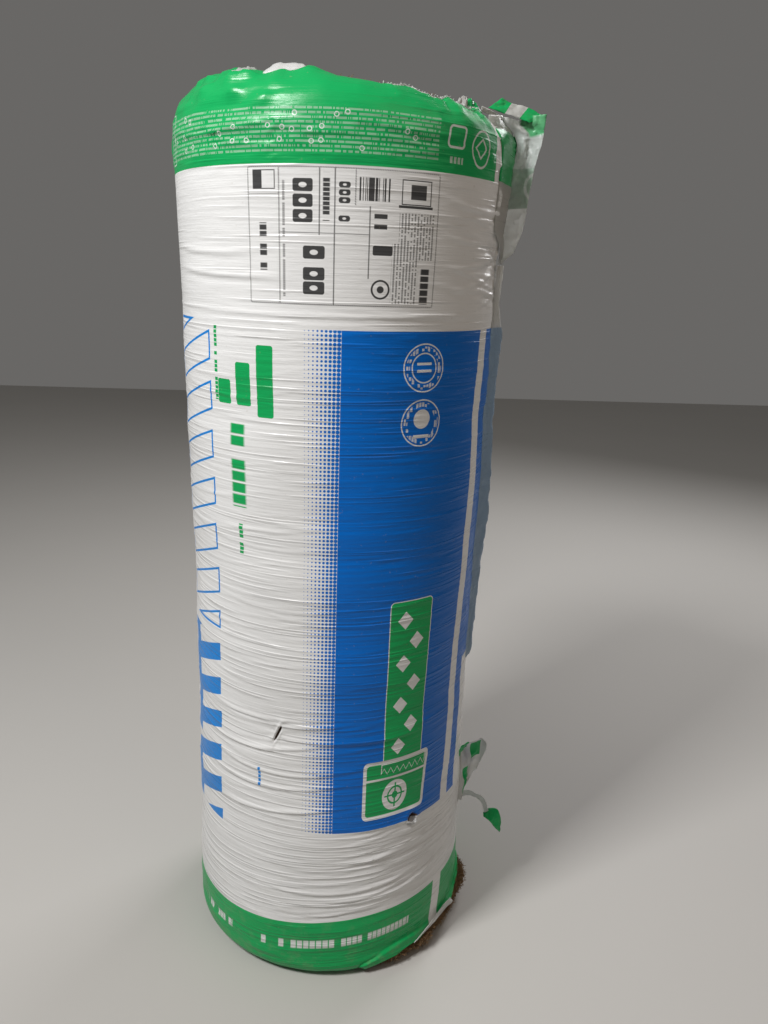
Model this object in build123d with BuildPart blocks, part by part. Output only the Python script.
"""Standing roll of mineral wool insulation in its printed film wrap, in millimetres.

The roll stands on its end. +Z is up, the roll's axis is Z, and the origin is on that
axis at the floor. The side that faces -Y is the front. The film's free edge is at +X.
"""

import os
from math import cos, pi, radians, sin, tan

from build123d import *

# The mat as it is sold: a long strip of wool, as wide as the roll is high
mat_width = 1200.0
mat_length = 2600.0

# The squeezed roll: straight from the foot up, flaring towards the head, with round rims
waist_radius = 205.5
head_radius = 219.0
head_flare_length = 500.0
bore_radius = 16.0
foot_rim_radius = 22.0
head_rim_radius = 55.0
hidden_rim_flats = 3

# The turns have slipped a little along each other, so the head slants down to +X
head_slant = 6.0

# The cleft between one turn and the next, which shows on both ends of the roll
cleft_width = 15.0
cleft_depth = 26.0
cleft_half_turns = 6

# The film: its wall, how closely it lies on the wool, and the opening at each end
film_wall = 1.2
film_fit = 0.3
foot_opening_radius = 132.0
head_opening_radius = 140.0
head_opening_shift = 38.0
head_opening_azimuth = -40.0

# The film's free edge curls away from the roll along one side, in three lengths.
# Each length has its outline as heights, and how far it reaches out from the sleeve there.
# The first two are measured down from the head, and the last one up from the floor
free_edge_azimuth = -17.0
free_edge_curl_radius = 62.0
free_edge_curl_angle = 84.0
free_edge_upper = [(9, 41), (81, 29), (139, 25), (175, 16), (191, 4)]
free_edge_middle = [(249, 2), (301, 10), (461, 18), (551, 19), (641, 9), (761, 4)]
free_edge_lower = [(285, 7), (276, 36), (196, 43), (182, 7)]

# Sizes that follow from those above
stand_off = film_wall + film_fit
head_height = stand_off + mat_width
head_rise = (head_radius - head_rim_radius) * tan(radians(head_slant))
flare_start = head_height - head_flare_length
flare_end = head_height + head_rise - head_rim_radius
turn_pitch = pi * (waist_radius**2 - bore_radius**2) / mat_length
head_end = Plane.XY.offset(head_height).rotated((0, head_slant, 0))
foot_end = Plane.XY.offset(stand_off).rotated((180, 0, 0))


def side_radius(height):
    """The wool's radius at a height."""
    share = (height - flare_start) / (flare_end - flare_start)
    return waist_radius + (head_radius - waist_radius) * min(max(share, 0), 1)


def rim(centre, radius, start, hidden):
    """A quarter round from a start angle. Where it never shows, it is a few flats inside that round."""
    if not hidden:
        CenterArc(centre, radius, start, 90)
        return
    step = 90 / hidden_rim_flats
    angles = [radians(start + step * i) for i in range(hidden_rim_flats + 1)]
    Polyline([(centre[0] + radius * cos(a), centre[1] + radius * sin(a)) for a in angles])


def roll_body(gap, hidden):
    """The wool's outer form, grown by a gap: a flared round body with round rims and a slanting head."""
    foot = stand_off - gap
    head = head_height + head_rise + gap
    foot_rim = (waist_radius - foot_rim_radius, stand_off + foot_rim_radius)
    head_rim = (head_radius - head_rim_radius, flare_end)
    with BuildPart() as body:
        with BuildSketch(Plane.YZ):
            with BuildLine():
                Line((0, foot), (foot_rim[0], foot))
                rim(foot_rim, foot_rim_radius + gap, 270, hidden)
                Line((waist_radius + gap, foot_rim[1]), (waist_radius + gap, flare_start))
                Line((waist_radius + gap, flare_start), (head_radius + gap, head_rim[1]))
                rim(head_rim, head_rim_radius + gap, 0, hidden)
                Line((head_rim[0], head), (0, head))
                Line((0, head), (0, foot))
            make_face()
        revolve(axis=Axis.Z)
        split(bisect_by=head_end.offset(gap), keep=Keep.BOTTOM)
    return body.part


def turn_cleft(end, winding):
    """The spiral cleft of one end, narrow at its bottom, by half turns about two centres in turn.

    The winding is 1 at the head and -1 at the foot, so both ends show the same turns.
    """
    with BuildPart() as cleft:
        for half_turn in range(cleft_half_turns):
            side = 1 if half_turn % 2 == 0 else -1
            centre = side * turn_pitch / 4
            radius = bore_radius + turn_pitch / 4 + half_turn * turn_pitch / 2
            start = end.from_local_coords((centre - side * radius, 0, 0))
            with BuildSketch(Plane(start, x_dir=end.x_dir, z_dir=-end.y_dir)):
                with BuildLine():
                    Polyline((0, -cleft_depth), (cleft_width, cleft_depth), (0, cleft_depth))
                    mirror(about=Plane.YZ)
                make_face()
            axis = Axis(end.from_local_coords((centre, 0, 0)), end.z_dir * winding)
            revolve(axis=axis, revolution_arc=180)
    return cleft.part


def free_edge_length(outline):
    """One length of the free edge: a wall that curls off the sleeve, cut to its outline from the front."""
    heights = [height for height, reach in outline]
    start_radius = side_radius(min(heights))
    from_axis = start_radius + free_edge_curl_radius
    azimuth = radians(free_edge_azimuth)
    curl_centre = (from_axis * cos(azimuth), from_axis * sin(azimuth))
    curl_start = free_edge_azimuth + 180
    root = start_radius - free_edge_curl_radius
    with BuildPart() as length:
        with BuildSketch(Plane.XY):
            with BuildLine():
                CenterArc(curl_centre, free_edge_curl_radius, curl_start, -free_edge_curl_angle)
            trace(line_width=film_wall)
        extrude(amount=head_height + head_rise)
        with BuildSketch(Plane.XZ):
            with BuildLine():
                outer = Spline([(side_radius(h) + stand_off + reach, h) for h, reach in outline])
                Polyline(outer @ 1, (root, heights[-1]), (root, heights[0]), outer @ 0)
            make_face()
        extrude(amount=2 * head_radius, both=True, mode=Mode.INTERSECT)
        add(roll_body(stand_off + film_fit, False), mode=Mode.SUBTRACT)
    return length.part


# The wool: one long mat wound up on itself, with its bore, and with its turns on both ends
with BuildPart() as insulation_mat:
    add(roll_body(0, True))
    Cylinder(bore_radius, 3 * mat_width, mode=Mode.SUBTRACT)
    add(turn_cleft(head_end, 1), mode=Mode.SUBTRACT)
    add(turn_cleft(foot_end, -1), mode=Mode.SUBTRACT)
insulation_mat.part.label = "insulation_mat"

# The film: a sleeve round the wool, drawn in over both ends
with BuildPart() as wrap_film:
    add(roll_body(stand_off, False))
    add(roll_body(film_fit, True), mode=Mode.SUBTRACT)
    Cylinder(foot_opening_radius, 4 * film_wall, mode=Mode.SUBTRACT)
    with Locations(head_end):
        with PolarLocations(head_opening_shift, 1, start_angle=head_opening_azimuth):
            Cylinder(head_opening_radius, 8 * film_wall, mode=Mode.SUBTRACT)
wrap_film.part.label = "wrap_film"

# The film's free edge, in its three lengths
with BuildPart() as film_free_edge:
    for outline in (free_edge_upper, free_edge_middle):
        add(free_edge_length([(head_height - drop, reach) for drop, reach in outline]))
    add(free_edge_length(free_edge_lower))
film_free_edge.part.label = "film_free_edge"

os.makedirs("parts", exist_ok=True)
export_step(insulation_mat.part, "parts/insulation_mat.step")
export_step(wrap_film.part, "parts/wrap_film.step")
export_step(film_free_edge.part, "parts/film_free_edge.step")
